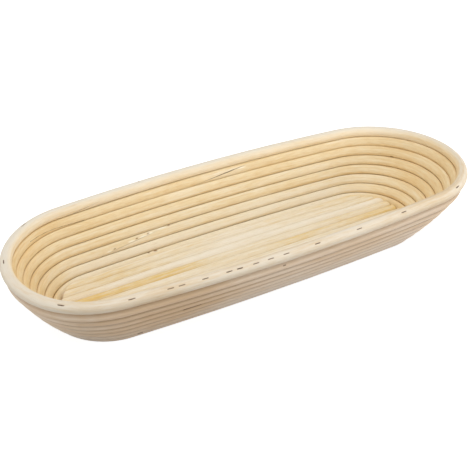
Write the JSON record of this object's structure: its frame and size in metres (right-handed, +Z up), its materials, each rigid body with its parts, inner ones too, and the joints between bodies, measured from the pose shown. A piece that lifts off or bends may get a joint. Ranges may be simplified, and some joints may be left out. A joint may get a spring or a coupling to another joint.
{
  "type": "proofing basket",
  "caption": "Long oval bread-proofing basket of stacked, stapled rattan hoops that lean outward from a floor of straight cane rods to a thicker rim.",
  "frame": {"origin": "on the table, under the middle of the rim's outline", "axes": "+X along the basket's length, +Y across it, +Z up out of the open top"},
  "size_m": [0.4022, 0.1598, 0.0553],
  "materials": {
    "wall_cane": "peeled rattan, matt",
    "rim_cane": "peeled rattan, matt, paler",
    "floor_rod": "peeled rattan, matt",
    "staple": "dulled steel wire"
  },
  "bodies": {
    "root": {"base_cane": "wall_cane", "wall_cane_2": "wall_cane", "wall_cane_3": "wall_cane", "wall_cane_4": "wall_cane", "wall_cane_5": "wall_cane", "wall_cane_6": "wall_cane", "wall_cane_7": "wall_cane", "rim_cane": "rim_cane", "floor_rod_1": "floor_rod", "floor_rod_2": "floor_rod", "floor_rod_3": "floor_rod", "floor_rod_4": "floor_rod", "floor_rod_5": "floor_rod", "floor_rod_6": "floor_rod", "floor_rod_7": "floor_rod", "floor_rod_8": "floor_rod", "floor_rod_9": "floor_rod", "rim_staple_1": "staple", "rim_staple_2": "staple", "rim_staple_3": "staple", "rim_staple_4": "staple", "rim_staple_5": "staple", "rim_staple_6": "staple", "rim_staple_7": "staple", "rim_staple_8": "staple", "rim_staple_9": "staple", "rim_staple_10": "staple", "rim_staple_11": "staple", "rim_staple_12": "staple", "rim_staple_13": "staple", "rim_staple_14": "staple", "rim_staple_15": "staple", "rim_staple_16": "staple", "rim_staple_17": "staple", "rim_staple_18": "staple", "rim_staple_19": "staple", "rim_staple_20": "staple", "rim_staple_21": "staple", "rim_staple_22": "staple", "rim_staple_23": "staple", "wall_staple_1": "staple", "wall_staple_2": "staple", "wall_staple_3": "staple", "wall_staple_4": "staple", "wall_staple_5": "staple", "wall_staple_6": "staple", "floor_staple_1": "staple", "floor_staple_2": "staple", "floor_staple_3": "staple", "floor_staple_4": "staple", "floor_staple_5": "staple", "floor_staple_6": "staple", "floor_staple_7": "staple", "floor_staple_8": "staple", "floor_staple_9": "staple", "floor_staple_10": "staple"}
  },
  "joints": []
}
